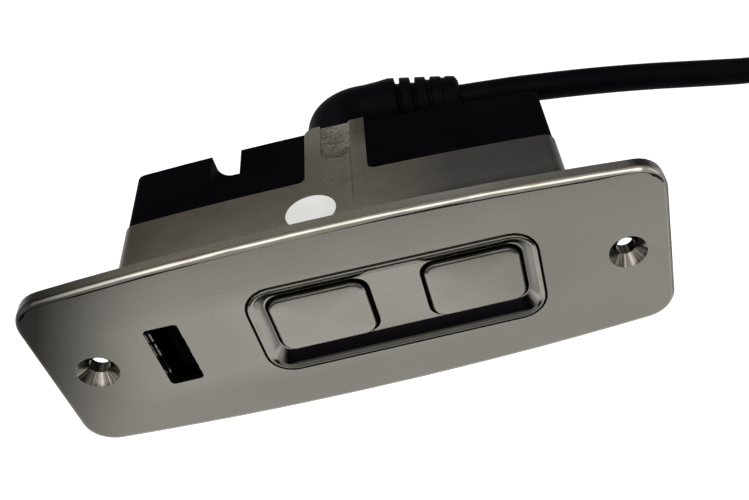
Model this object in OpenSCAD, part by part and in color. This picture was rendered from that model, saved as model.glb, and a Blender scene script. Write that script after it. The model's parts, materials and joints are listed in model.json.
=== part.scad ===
// Flush-mounted control switch: cast bezel with a button tray and a socket window,
// moulded back cover, circuit board, and a lead that ends in a round plug.
// X runs along the plate, Y runs back through it and Z is up.
// The origin lies between the two screw holes, on the seat behind the plate.

/* [Face plate] */
// Length of the face plate
plate_l = 110; // [106:1:130]
// Height of the face plate at its ends
plate_end_h = 34; // [33:0.2:40]
// How far each long edge bows out at the middle
plate_bow = 2.6; // [1:0.2:4]
// Thickness of the face plate
plate_t = 3; // [2.6:0.2:4]
// Radius of the plate's corners
plate_corner_r = 5.5; // [3:0.5:8]
// Rounding of the plate's front edge
plate_edge_r = 0.8; // [0.3:0.1:1.2]
// Distance between the two screw holes
screw_span = 94; // [90:1:96]
// Bore of each screw hole
screw_bore_d = 3.6; // [3:0.1:4.2]
// Countersink of each screw hole at the face
countersink_d = 7.1; // [6:0.1:9]
// How far the boss behind each screw hole stands out
boss_h = 1.2; // [0.4:0.1:1.5]

/* [Box behind the plate] */
// Length of the metal box wall
box_l = 78.6; // [78:0.2:80]
// Height of the box wall at its ends
box_end_h = 29; // [28:0.5:31]
// How far each long wall bows out at the middle
box_bow = 1.2; // [0.6:0.1:2]
// Depth of the metal box wall behind the plate
box_depth = 16.7; // [16:0.1:18]
// Radius of the box wall's corners
box_corner_r = 2.2; // [2:0.1:4]
// Thickness of the metal box wall
box_wall = 1.8; // [1.4:0.1:2]

/* [Button tray] */
// Length of the tray inside its rim
tray_l = 48.4; // [48.2:0.2:50]
// Height of the tray inside its rim
tray_h = 17.4; // [17.3:0.1:18]
// Depth of the tray floor below the face
tray_depth = 1.8; // [1.2:0.1:2]
// How far the tray's end walls slope in
tray_slope = 1.4; // [1:0.1:1.5]
// How far the tray's long walls slope in
tray_slope_z = 2.1; // [1.6:0.05:2.15]
// Radius of the tray's corners inside its rim
tray_corner_r = 3.6; // [3:0.2:5]
// Middle of the tray along the plate
tray_x = 6.1; // [5.5:0.1:6.5]
// Height of the rim round the tray
rim_h = 0.25; // [0.1:0.05:0.4]
// Width of the rim round the tray
rim_w = 0.95; // [0.5:0.05:1.2]
// Width of the groove round the rim
rim_gap = 0.45; // [0.2:0.05:0.6]
// Depth of the groove round the rim
rim_gap_deep = 0.4; // [0.2:0.1:0.8]

/* [Buttons] */
// Distance between the two buttons
button_pitch = 27.6; // [27.2:0.1:27.8]
// Length of a button
button_l = 16.2; // [14:0.1:16.3]
// Height of a button
button_h = 12.1; // [10:0.1:12.2]
// Radius of a button's corners
button_corner_r = 2.2; // [1:0.1:3]
// Gap at each end of a button
button_gap = 0.8; // [0.5:0.05:0.85]
// Gap above and below a button
button_gap_z = 0.45; // [0.3:0.05:0.5]
// How far a button stands out of the tray floor
button_proud = 1.1; // [0.6:0.1:1.4]
// Travel of a button
button_travel = 0.9; // [0.4:0.1:1]
// Rounding of a button's front edge
button_edge_r = 0.5; // [0.2:0.1:0.8]

/* [Socket] */
// Width of the window for the socket
window_w = 5.9; // [5.8:0.1:6.6]
// Height of the window for the socket
window_h = 13.5; // [13.4:0.1:14]
// Middle of the window along the plate
window_x = -33.8; // [-34:0.1:-33.4]
// Outer width of the socket's shell
shell_w = 5.5; // [5.2:0.1:5.6]
// Outer height of the socket's shell
shell_h = 13.1; // [12.8:0.1:13.2]
// Sheet thickness of the socket's shell
shell_sheet = 0.35; // [0.25:0.05:0.4]
// How deep the shell's mouth sits below the face
shell_recess = 1.2; // [0.6:0.1:1.6]

/* [Back cover] */
// Distance from the seat to the rear of the cover
cover_rear = 32.6; // [32:0.2:38]
// Wall of the back cover
cover_wall = 1.8; // [1.4:0.1:2]
// How far the cover is set in from the box wall
cover_inset = 0.3; // [0.1:0.05:0.5]
// Width of the notch in the cover's top
notch_w = 5.6; // [5:0.2:7]
// Depth of the notch from the cover's rear
notch_depth = 7.8; // [5:0.2:8.4]

/* [Tab over the cover] */
// Width of the tab
tab_w = 11.4; // [10:0.2:13]
// Thickness of the tab
tab_t = 1.6; // [1.2:0.1:1.8]
// How far the tab reaches past the cover's rear
tab_over = 1.3; // [0.4:0.1:1.6]
// Width of the pocket in the tab's end
pocket_w = 6; // [4:0.2:7]
// Length of the pocket in the tab's end
pocket_l = 12.4; // [8:0.1:13]

/* [Circuit board] */
// Length of the circuit board
board_l = 72.4; // [66:0.2:72.6]
// Height of the circuit board
board_h = 21.6; // [21:0.2:22]
// Thickness of the circuit board
board_t = 1.6; // [1:0.2:2]
// How far the board's front lies inside the open end of the box
board_in = 2.7; // [2.3:0.1:3.7]
// Length of a board screw
board_screw_l = 8; // [6:0.5:9]
// Length of a cover screw
cover_screw_l = 11; // [9:0.5:12]
// Width of the wire header
header_w = 13; // [12.6:0.1:14]
// Depth of the wire header
header_depth = 6; // [5:0.2:7]
// Height of the wire header
header_h = 5; // [4:0.2:6]
// Side of a switch body
switch_side = 12; // [10:0.5:12]

/* [Lead] */
// Diameter of the lead
lead_d = 5.6; // [4:0.1:6]
// Diameter of the strain relief at its bend
relief_d = 10.6; // [9:0.1:11]
// Diameter of the strain relief at its first rib
relief_rib_d = 12; // [11:0.2:13]
// Diameter of the strain relief at its end
relief_end_d = 9.2; // [8.6:0.2:10]
// Length of the strain relief's ribbed arm
relief_arm = 19.4; // [18:0.2:22]

/* [Plug] */
// Diameter of the plug's moulded body
plug_d = 14.6; // [14:0.2:17]
// Diameter of the plug's metal collar
collar_d = 12.6; // [11:0.2:13.4]
// Length of the metal collar outside the body
collar_l = 9; // [7:0.5:11]

/* [Hidden] */
$fn = 48;
eps = 0.01;

face_y = -plate_t;
floor_y = face_y + tray_depth;
button_x = [tray_x - button_pitch / 2, tray_x + button_pitch / 2];
tray_floor_r = tray_corner_r - tray_slope;

// Button behind the tray floor
flange_gap = 0.1;
flange_over = 1.2;
flange_over_z = 0.9;
flange_t = 1.2;
stem_d = 5;
spring_wire_d = 0.7;
spring_mean_d = 8;
spring_turns = 3.5;
switch_depth = 6;
board_y = box_depth - board_in;
header_wall = 0.8;
switch_front = board_y - switch_depth;
plunger_d = 3.5;
plunger_out = 1.6;
plunger_y = switch_front - plunger_out;

// Socket
shell_front = face_y + shell_recess;
shell_r = 0.8;
tongue_t = 1.9;
tongue_set = 1.3;

// Fastening inside the box
post_r = 2.4;
pilot_d = 1.7;
board_posts = [[tray_x, 8.2], [tray_x, -8.2], [window_x + 9.3, 8.4], [33, -8.4]];
cover_posts = [[-20.5, -8.4], [33, 8.4]];
screw_shank_d = 2;
screw_head_d = 3.8;
screw_head_h = 1.4;
board_hole_d = 2.3;
well_d = 7;
well_bore_d = 4.4;
well_floor = 2;
fit_gap = 0.1;
lip_t = 1.2;
lip_l = 1;

// Tab, slot for the lead and notch
tab_x = -0.4;
box_top = box_end_h / 2 + box_bow;
tab_fillet = 1.2;
tab_corner_r = 2.2;
pocket_deep = 0.5;
seam_w = 0.25;
seam_deep = 0.2;
seam_front = 8;
notch_x = -21.2;
notch_floor_z = 10.15;
notch_r = 2.2;

// Strain relief
tab_rear = cover_rear + tab_over;
lead_x = -2;
lead_z = 10;
neck_d = 6;
bend_r = 7;
relief_y = 46.2;
relief_tilt = 5;
relief_flange_t = 1.6;
flange_d = 9;
rib_pitch = 3.25;
rib_first = 5.2;
groove_w = 1.1;
groove_deep = [1.2, 1.1, 0.6, 0.3];

// Route of the lead from the strain relief to the coil, and of its tail to the plug
cord_route = [[24.3, 46.2, 7.7], [30, 46.2, 7.3], [36, 46.1, 6.9], [42, 46, 6.3], [48, 46, 5.6],
    [54, 46, 4.8], [60, 46, 3.9], [66, 46, 2.9], [72, 46, 1.8], [78, 46, 0.7],
    [84, 46.4, -0.6], [90, 48.2, -2.6], [95.4, 50.8, -6], [99.8, 53.8, -10.4],
    [103, 56.8, -16], [105, 58.8, -22.4], [106, 59.5, -29.4], [106, 59.5, -30]];
tail_route = [[117.4, 59.5, -30], [117.4, 59.5, -37], [117.4, 59.5, -45], [117.4, 59.5, -52]];
coil_turns = 2;
coil_mean_r = 28;
coil_centre = [111.7, 31.5, -30];
coil_slack = 0.2;
tie_t = 0.8;
tie_w = 5;
plug_top = [117.4, 59.5, -52];
plug_boot_l = 16;
plug_body_l = 23;
pin_d = 1.45;
pin_circle_r = 3.3;

// Half height of a bowed outline's long edge at its middle is half_h + bow
function edge_radius(half_l, bow) = (half_l * half_l + bow * bow) / (2 * bow);
function corner_z(half_l, half_h, bow, r) =
    half_h + bow - edge_radius(half_l, bow)
    + sqrt(pow(edge_radius(half_l, bow) - r, 2) - pow(half_l - r, 2));
function tangent_angle(half_l, half_h, bow, r) =
    asin((half_l - r) / (edge_radius(half_l, bow) - r));

// One quarter of a bowed outline, from the end towards the middle of the long edge
function bowed_quarter(half_l, half_h, bow, r, steps = 8, along = 14) =
    let (
        a = tangent_angle(half_l, half_h, bow, r),
        cz = corner_z(half_l, half_h, bow, r),
        big = edge_radius(half_l, bow),
        mid_z = half_h + bow - big
    )
    concat(
        [for (i = [0:steps]) let (t = (90 - a) * i / steps) [half_l - r + r * cos(t), cz + r * sin(t)]],
        [for (i = [1:along]) let (t = a * (1 - i / along)) [big * sin(t), mid_z + big * cos(t)]]
    );

function mirrored_x(points) = [for (i = [len(points) - 2:-1:0]) [-points[i][0], points[i][1]]];
function mirrored_z(points) = [for (i = [len(points) - 1:-1:0]) [points[i][0], -points[i][1]]];
function bowed_points(half_l, half_h, bow, r) =
    let (
        quarter = bowed_quarter(half_l, half_h, bow, r),
        upper = concat(quarter, mirrored_x(quarter))
    )
    concat(upper, mirrored_z(upper));

module bowed(half_l, half_h, bow, r) {
    polygon(bowed_points(half_l, half_h, bow, r));
}

// Bowed outline of the box wall, moved in by a distance
module box_outline(inward = 0) {
    bowed(box_l / 2 - inward, box_end_h / 2 - inward, box_bow, max(box_corner_r - inward, 0.6));
}

module rounded(w, h, r, steps = 6) {
    corners = [[1, 1, 0], [-1, 1, 90], [-1, -1, 180], [1, -1, 270]];
    polygon([for (c = corners, i = [0:steps]) let (t = c[2] + 90 * i / steps)
        [c[0] * (w / 2 - r) + r * cos(t), c[1] * (h / 2 - r) + r * sin(t)]]);
}

// A flat shape drawn in X and Z, filled from one depth to another
module along_y(from, to) {
    translate([0, to, 0])
        rotate([90, 0, 0])
            linear_extrude(to - from)
                children();
}

module bore_y(x, z, d, from, to) {
    translate([x, to, z])
        rotate([90, 0, 0])
            cylinder(d = d, h = to - from);
}

module plate_solid() {
    hull() {
        for (i = [0:4]) {
            in = plate_edge_r * (1 - sin(90 * i / 4));
            y = face_y + plate_edge_r * (1 - cos(90 * i / 4));
            along_y(y, 0)
                bowed(plate_l / 2 - in, plate_end_h / 2 - in, plate_bow, plate_corner_r - in);
        }
    }
}

module tray_cut() {
    hull() {
        translate([tray_x, 0, 0])
            along_y(face_y - eps, face_y)
                rounded(tray_l, tray_h, tray_corner_r);
        translate([tray_x, 0, 0])
            along_y(face_y, floor_y)
                rounded(tray_l - 2 * tray_slope, tray_h - 2 * tray_slope_z, tray_floor_r);
    }
    hull() {
        translate([tray_x, 0, 0])
            along_y(face_y - rim_h - eps, face_y - rim_h)
                rounded(tray_l + rim_w, tray_h + rim_w, tray_corner_r + rim_w / 2);
        translate([tray_x, 0, 0])
            along_y(face_y - rim_h, face_y)
                rounded(tray_l, tray_h, tray_corner_r);
    }
}

// Groove between the face and the tray's rim
module rim_groove() {
    in = rim_w - eps;
    out = rim_w + rim_gap;
    translate([tray_x, 0, 0])
        along_y(face_y - rim_h - 1, face_y + rim_gap_deep)
            difference() {
                rounded(tray_l + 2 * out, tray_h + 2 * out, tray_corner_r + out);
                rounded(tray_l + 2 * in, tray_h + 2 * in, tray_corner_r + in);
            }
}

// Rim round the tray, rounded on its outer side
module tray_rim() {
    translate([tray_x, 0, 0])
        hull()
            for (i = [0:3]) {
                out = rim_w * (1 - (1 - cos(30 * i)) / 2);
                along_y(face_y - rim_h * sin(30 * i) - eps, face_y + eps)
                    rounded(tray_l + 2 * out, tray_h + 2 * out, tray_corner_r + out);
            }
}

module button_openings() {
    for (x = button_x)
        translate([x, 0, 0])
            along_y(face_y - 1, eps)
                rounded(
                    button_l + 2 * button_gap,
                    button_h + 2 * button_gap_z,
                    button_corner_r + button_gap_z
                );
}

module screw_holes() {
    sink_depth = (countersink_d - screw_bore_d) / 2;
    for (side = [-1, 1]) {
        bore_y(side * screw_span / 2, 0, screw_bore_d, face_y - 1, boss_h + 1);
        translate([side * screw_span / 2, face_y + sink_depth, 0])
            rotate([90, 0, 0])
                cylinder(d1 = screw_bore_d, d2 = countersink_d + 2, h = sink_depth + 1);
    }
}

module screw_bosses() {
    for (side = [-1, 1])
        bore_y(side * screw_span / 2, 0, countersink_d, -1, boss_h);
}

module tab_solid() {
    rear = tab_rear;
    half = tab_w / 2;
    translate([tab_x, 0, box_top - tab_t])
        linear_extrude(tab_t)
            difference() {
                union() {
                    translate([-half, box_depth - 4])
                        square([tab_w, rear - box_depth + 4 - tab_corner_r]);
                    translate([-half + tab_corner_r, rear - tab_corner_r - 1])
                        square([tab_w - tab_corner_r, tab_corner_r + 1]);
                    translate([-half + tab_corner_r, rear - tab_corner_r])
                        circle(tab_corner_r);
                    translate([-half - tab_fillet, box_depth - 1])
                        square([tab_w + 2 * tab_fillet, 1 + tab_fillet]);
                }
                for (side = [-1, 1])
                    translate([side * (half + tab_fillet), box_depth + tab_fillet])
                        circle(tab_fillet);
            }
}

// Fine groove beside the pocket, running on over the box
module tab_groove() {
    translate([tab_x + pocket_w / 2 - 0.3, seam_front, box_top - seam_deep])
        cube([seam_w, cover_rear, seam_deep + 1]);
}

module tab_pocket() {
    rear = tab_rear + 1;
    round_y = tab_rear - pocket_l + pocket_w / 2;
    translate([tab_x, 0, box_top - pocket_deep])
        linear_extrude(2) {
            translate([0, round_y])
                circle(pocket_w / 2 - 0.3);
            translate([0.3 - pocket_w / 2, round_y])
                square([pocket_w - 0.6, rear - round_y]);
        }
}

module bezel() {
    color([0.55, 0.53, 0.5])
        difference() {
            union() {
                plate_solid();
                tray_rim();
                screw_bosses();
                difference() {
                    along_y(-1, box_depth)
                        box_outline();
                    along_y(0, box_depth + 1)
                        box_outline(box_wall);
                }
                for (p = board_posts)
                    bore_y(p[0], p[1], 2 * post_r, -1, board_y);
                for (p = cover_posts)
                    bore_y(p[0], p[1], 2 * post_r, -1, board_y);
                tab_solid();
            }
            tray_cut();
            rim_groove();
            button_openings();
            screw_holes();
            tab_pocket();
            tab_groove();
            translate([window_x, 0, 0])
                along_y(face_y - 1, eps)
                    rounded(window_w, window_h, shell_r);
            for (p = concat(board_posts, cover_posts))
                bore_y(p[0], p[1], pilot_d, 4, board_y + 1);
        }
}

// Notch in the cover's top, open to the rear, with one round lower corner
module notch_cut(grow = 0) {
    half = notch_w / 2 + grow;
    r = notch_r + grow;
    floor_z = notch_floor_z - grow;
    translate([notch_x, 0, 0])
        along_y(cover_rear - notch_depth - grow, cover_rear + 1)
            difference() {
                translate([-half, floor_z])
                    square([2 * half, box_top]);
                difference() {
                    translate([-half - eps, floor_z - eps])
                        square(r + eps);
                    translate([-half + r, floor_z + r])
                        circle(r);
                }
            }
}

module cover_shell() {
    difference() {
        along_y(box_depth + fit_gap, cover_rear)
            box_outline(cover_inset);
        along_y(box_depth - 1, cover_rear - cover_wall)
            box_outline(cover_inset + cover_wall);
    }
    difference() {
        along_y(box_depth - lip_l, box_depth + fit_gap + 1)
            box_outline(box_wall + fit_gap);
        along_y(box_depth - lip_l - 1, box_depth + 3)
            box_outline(box_wall + fit_gap + lip_t);
    }
}

module cover_notch_walls() {
    intersection() {
        notch_cut(cover_wall);
        along_y(box_depth + fit_gap + 1, cover_rear - eps)
            box_outline(cover_inset + 0.2);
    }
}

module cover_tab_bed() {
    intersection() {
        translate([tab_x - tab_w / 2 - 2, box_depth + fit_gap, box_top - tab_t - fit_gap - cover_wall])
            cube([tab_w + 4, cover_rear - box_depth - cover_wall - 2 * relief_flange_t, 2 * cover_wall]);
        along_y(0, cover_rear)
            box_outline(cover_inset + 0.2);
    }
}

module cover_wells() {
    for (p = cover_posts)
        bore_y(p[0], p[1], well_d, board_y + board_t + fit_gap, cover_rear - 0.2);
}

module back_cover() {
    color([0.07, 0.07, 0.075])
        difference() {
            union() {
                cover_shell();
                cover_notch_walls();
                cover_tab_bed();
                cover_wells();
            }
            notch_cut();
            translate([tab_x - tab_w / 2 - 2 * tab_fillet, 0, box_top - tab_t - fit_gap])
                cube([tab_w + 4 * tab_fillet, box_depth + tab_fillet + fit_gap, 4]);
            translate([tab_x - tab_w / 2 - fit_gap, 0, box_top - tab_t - fit_gap])
                cube([tab_w + 2 * fit_gap, cover_rear + 1, 4]);
            bore_y(lead_x, lead_z, neck_d + 2 * fit_gap, cover_rear - cover_wall - 1, cover_rear + 1);
            translate([lead_x - neck_d / 2 - fit_gap, cover_rear - cover_wall - 1, lead_z])
                cube([neck_d + 2 * fit_gap, cover_wall + 2, box_end_h]);
            for (p = cover_posts) {
                bore_y(p[0], p[1], well_bore_d, board_y + board_t + well_floor, cover_rear + 1);
                bore_y(p[0], p[1], board_hole_d, board_y, cover_rear);
            }
        }
}

// Button cap with its retaining flange and stem
module button(x) {
    front = floor_y - button_proud;
    color([0.6, 0.58, 0.55])
        translate([x, 0, 0]) {
            hull() {
                for (i = [0:3]) {
                    in = button_edge_r * (1 - sin(30 * i));
                    y = front + button_edge_r * (1 - cos(30 * i));
                    along_y(y, front + button_edge_r + 0.2)
                        rounded(button_l - 2 * in, button_h - 2 * in, button_corner_r - in);
                }
            }
            along_y(front + button_edge_r, flange_gap + flange_t)
                rounded(button_l, button_h, button_corner_r);
            along_y(flange_gap, flange_gap + flange_t)
                rounded(
                    button_l + 2 * (button_gap + flange_over),
                    button_h + 2 * (button_gap_z + flange_over_z),
                    button_corner_r + flange_over
                );
            bore_y(0, 0, stem_d, flange_gap, plunger_y);
        }
}

module left_button() {
    button(button_x[0]);
}

module right_button() {
    button(button_x[1]);
}

// Wire of a coil spring, swept along a helix whose axis runs along Y
module spring(x) {
    sides = 8;
    per_turn = 16;
    rings = spring_turns * per_turn;
    from = flange_gap + flange_t + spring_wire_d / 2 + 0.05;
    to = switch_front - spring_wire_d / 2 - 0.05;
    wire_r = spring_wire_d / 2;
    mean_r = spring_mean_d / 2;
    points = [for (i = [0:rings], j = [0:sides - 1])
        let (
            t = 360 * i / per_turn,
            a = 360 * j / sides,
            out = mean_r + wire_r * cos(a)
        )
        [x + out * cos(t), from + (to - from) * i / rings + wire_r * sin(a), out * sin(t)]];
    sides_faces = [for (i = [0:rings - 1], j = [0:sides - 1])
        let (k = (j + 1) % sides)
        [i * sides + j, i * sides + k, (i + 1) * sides + k, (i + 1) * sides + j]];
    first_face = [[for (j = [sides - 1:-1:0]) j]];
    last_face = [[for (j = [0:sides - 1]) rings * sides + j]];
    color([0.75, 0.75, 0.76])
        polyhedron(points, concat(sides_faces, first_face, last_face), convexity = 8);
}

module left_return_spring() {
    spring(button_x[0]);
}

module right_return_spring() {
    spring(button_x[1]);
}

module switch_body(x) {
    color([0.12, 0.12, 0.12])
        translate([x, 0, 0])
            difference() {
                along_y(switch_front, board_y)
                    rounded(switch_side, switch_side, 1);
                bore_y(0, 0, plunger_d + 0.1, switch_front - 1, switch_front + 3.2);
            }
}

module left_switch_body() {
    switch_body(button_x[0]);
}

module right_switch_body() {
    switch_body(button_x[1]);
}

module switch_plunger(x) {
    color([0.8, 0.75, 0.6])
        bore_y(x, 0, plunger_d, plunger_y, switch_front + 3.1 - button_travel);
}

module left_switch_plunger() {
    switch_plunger(button_x[0]);
}

module right_switch_plunger() {
    switch_plunger(button_x[1]);
}

module circuit_board() {
    color([0.08, 0.3, 0.16])
        difference() {
            along_y(board_y, board_y + board_t)
                rounded(board_l, board_h, 2);
            for (p = board_posts)
                bore_y(p[0], p[1], board_hole_d, 0, cover_rear);
            for (p = cover_posts)
                bore_y(p[0], p[1], board_hole_d, 0, cover_rear);
        }
}

module usb_shell() {
    color([0.78, 0.78, 0.78])
        translate([window_x, 0, 0])
            difference() {
                along_y(shell_front, board_y)
                    rounded(shell_w, shell_h, shell_r - 0.1);
                along_y(shell_front - 1, board_y - 1)
                    rounded(shell_w - 2 * shell_sheet, shell_h - 2 * shell_sheet, shell_r - 0.3);
            }
}

module usb_tongue() {
    inner_w = shell_w - 2 * shell_sheet;
    inner_h = shell_h - 2 * shell_sheet;
    color([0.08, 0.08, 0.09])
        translate([window_x, 0, 0]) {
            along_y(shell_front + 9.4, board_y - 1)
                rounded(inner_w, inner_h, shell_r - 0.3);
            translate([inner_w / 2 - tongue_t - 0.55, 0, 0])
                along_y(shell_front + tongue_set, shell_front + 9.5)
                    translate([tongue_t / 2, 0])
                        square([tongue_t, inner_h - 1.4], center = true);
        }
}

module usb_contacts() {
    strip_w = 1;
    face_x = window_x + shell_w / 2 - shell_sheet - tongue_t - 0.55;
    color([0.85, 0.68, 0.3])
        for (i = [-1.5:1:1.5])
            translate([face_x - 0.2, shell_front + tongue_set + 0.6, i * 2.2 - strip_w / 2])
                cube([0.2, 7.4, strip_w]);
}

module screw(p, seat_y, length) {
    bore_y(p[0], p[1], screw_head_d, seat_y, seat_y + screw_head_h);
    bore_y(p[0], p[1], pilot_d, seat_y - length, seat_y + eps);
}

module board_screws() {
    color([0.7, 0.7, 0.7])
        for (p = board_posts)
            screw(p, board_y + board_t, board_screw_l);
}

module cover_screws() {
    color([0.25, 0.25, 0.26])
        for (p = cover_posts)
            screw(p, board_y + board_t + well_floor, cover_screw_l);
}

module wire_header() {
    color([0.9, 0.88, 0.8])
        translate([lead_x - 12, board_y + board_t, 3])
            difference() {
                cube([header_w, header_depth, header_h]);
                translate([header_wall, 1.5 * header_wall, header_wall])
                    cube([header_w - 2 * header_wall, header_depth, header_h - 2 * header_wall]);
            }
}

module lead_wires() {
    header_y = board_y + board_t + 1.2;
    colours = ["red", "black", "green", "white", "blue"];
    for (i = [0:4]) {
        from = [lead_x - 10.7 + i * 2.5, header_y + 0.3, 5.5];
        to = [lead_x - 3 + i * 1.4, cover_rear - cover_wall - relief_flange_t + 0.2, 8];
        color(colours[i])
            hull() {
                translate(from)
                    sphere(0.55, $fn = 10);
                translate(to)
                    sphere(0.55, $fn = 10);
            }
    }
}

module power_inductor() {
    color([0.2, 0.2, 0.2])
        translate([18, 0, -4])
            along_y(board_y + board_t, board_y + board_t + 4)
                rounded(7, 7, 1.5);
}

module smoothing_capacitor() {
    color([0.15, 0.2, 0.35])
        bore_y(26.5, -3, 6.3, board_y + board_t, board_y + board_t + 8);
}

module inspection_sticker() {
    sticker_d = 8.8;
    sticker_t = 0.1;
    centre = [-5.1, 7.6];
    color([0.93, 0.93, 0.92])
        intersection() {
            difference() {
                along_y(0, box_depth)
                    box_outline(-sticker_t);
                along_y(-1, box_depth + 1)
                    box_outline();
            }
            translate([centre[0], centre[1], 0])
                cylinder(d = sticker_d, h = box_end_h);
        }
}

module strain_relief() {
    neck_from = cover_rear - cover_wall - fit_gap / 2;
    bend_y = relief_y - bend_r;
    flat_z = box_top - cover_inset - cover_wall - fit_gap;
    color([0.06, 0.06, 0.065]) {
        difference() {
            bore_y(lead_x, lead_z, flange_d, neck_from - relief_flange_t, neck_from);
            translate([lead_x - relief_d, neck_from - 5, flat_z])
                cube([2 * relief_d, 6, relief_d]);
        }
        bore_y(lead_x, lead_z, neck_d, neck_from - eps, tab_rear + 0.3);
        translate([lead_x, 0, lead_z])
            rotate([0, relief_tilt, 0]) {
                bore_y(0, 0, relief_d, tab_rear + fit_gap, bend_y);
                translate([bend_r, bend_y, 0])
                    rotate([0, 0, 90])
                        rotate_extrude(angle = 90)
                            translate([bend_r, 0])
                                circle(d = relief_d);
                translate([bend_r, relief_y, 0])
                    rotate([0, 90, 0])
                        relief_arm_solid();
            }
    }
}

// Tapered arm with ring grooves, drawn from the bend outwards
module relief_arm_solid() {
    r0 = relief_d / 2;
    r1 = relief_rib_d / 2;
    r2 = relief_end_d / 2;
    flare = rib_first - 1;
    function at(z) = r1 + (r2 - r1) * (z - flare) / (relief_arm - flare);
    profile = concat(
        [[0, 0], [r0, 0], [r0 + 0.1, 0.2 * flare], [(r0 + r1) / 2, 0.6 * flare], [r1, flare]],
        [for (i = [0:3], k = [0:3])
            let (
                z = rib_first + i * rib_pitch + (k < 2 ? 0 : groove_w),
                deep = (k == 1 || k == 2) ? groove_deep[i] : 0
            )
            [at(z) - deep, z + (k == 1 ? 0.15 : k == 2 ? -0.15 : 0)]],
        [[at(relief_arm - 1), relief_arm - 1], [r2 - 0.3, relief_arm - 0.5], [r2 - 1, relief_arm],
            [0, relief_arm]]
    );
    rotate_extrude()
        polygon(profile);
}

// A round lead swept along a route, with its rings square to the route
module swept(route, d, sides = 10) {
    count = len(route);
    function ahead(i) = route[min(i + 1, count - 1)] - route[max(i - 1, 0)];
    function unit(v) = v / norm(v);
    side = [0, 1, 0];
    points = [for (i = [0:count - 1], j = [0:sides - 1])
        let (
            along = unit(ahead(i)),
            up = unit(cross(along, side)),
            a = 360 * j / sides
        )
        route[i] + d / 2 * (cos(a) * side + sin(a) * up)];
    walls = [for (i = [0:count - 2], j = [0:sides - 1])
        let (k = (j + 1) % sides)
        [i * sides + j, i * sides + k, (i + 1) * sides + k, (i + 1) * sides + j]];
    first_face = [[for (j = [sides - 1:-1:0]) j]];
    last_face = [[for (j = [0:sides - 1]) (count - 1) * sides + j]];
    polyhedron(points, concat(walls, first_face, last_face), convexity = 4);
}

module cord() {
    color([0.06, 0.06, 0.065])
        swept(cord_route, lead_d);
}

module cord_tail() {
    color([0.06, 0.06, 0.065])
        swept(tail_route, lead_d);
}

module coil_ring(grow) {
    translate(coil_centre)
        rotate([0, 90, 0])
            rotate_extrude($fn = 72)
                translate([coil_mean_r, 0])
                    rounded(
                        lead_d + coil_slack + 2 * grow,
                        (coil_turns + 1) * lead_d + coil_slack + 2 * grow,
                        1.6 + grow
                    );
}

module cord_coil() {
    color([0.06, 0.06, 0.065])
        coil_ring(0);
}

module cord_tie() {
    half = coil_mean_r + lead_d;
    color([0.1, 0.1, 0.1])
        difference() {
            intersection() {
                coil_ring(tie_t);
                translate(coil_centre + [-half, -half - coil_mean_r, -tie_w / 2])
                    cube([2 * half, half + lead_d, tie_w]);
            }
            coil_ring(0);
        }
}

module plug_body() {
    body_r = plug_d / 2;
    boot_r = lead_d / 2 + 1.1;
    total = plug_boot_l + plug_body_l;
    color([0.06, 0.06, 0.065])
        translate(plug_top - [0, 0, total])
            difference() {
                rotate_extrude()
                    polygon([
                        [0, 0], [body_r - 0.6, 0], [body_r, 0.6], [body_r, plug_body_l - 3],
                        [body_r - 1.2, plug_body_l - 0.6], [boot_r + 1.6, plug_body_l + 0.4],
                        [boot_r + 1, plug_body_l + 4], [boot_r, total - 0.6],
                        [boot_r - 0.5, total], [0, total]
                    ]);
                translate([0, 0, -1])
                    cylinder(d = collar_d, h = 9);
                for (a = [0:20:359])
                    rotate([0, 0, a])
                        translate([body_r + 0.25, 0, 5])
                            cylinder(r = 0.7, h = 11, $fn = 16);
            }
}

plug_base = plug_top - [0, 0, plug_boot_l + plug_body_l];

module plug_collar() {
    sheet = 0.5;
    color([0.8, 0.8, 0.8])
        translate(plug_base - [0, 0, collar_l])
            difference() {
                cylinder(d = collar_d, h = collar_l + 8);
                translate([0, 0, -1])
                    cylinder(d = collar_d - 2 * sheet, h = collar_l + 10);
                translate([-1.3, -collar_d, -1])
                    cube([2.6, collar_d, 4]);
            }
}

module plug_insert() {
    color([0.1, 0.1, 0.1])
        translate(plug_base - [0, 0, 1])
            cylinder(d = collar_d - 1, h = 9);
}

module plug_pins() {
    color([0.85, 0.8, 0.6])
        for (i = [0:4])
            translate(plug_base + [pin_circle_r * cos(45 * i), pin_circle_r * sin(45 * i), 1 - collar_l])
                cylinder(d = pin_d, h = collar_l - 2 + eps);
}

bezel();
back_cover();
left_button();
right_button();
left_return_spring();
right_return_spring();
circuit_board();
left_switch_body();
right_switch_body();
left_switch_plunger();
right_switch_plunger();
usb_shell();
usb_tongue();
usb_contacts();
board_screws();
cover_screws();
wire_header();
lead_wires();
power_inductor();
smoothing_capacitor();
inspection_sticker();
strain_relief();
cord();
cord_coil();
cord_tie();
cord_tail();
plug_body();
plug_collar();
plug_insert();
plug_pins();
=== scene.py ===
import bpy, bmesh, json, math
from mathutils import Matrix, Vector

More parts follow.
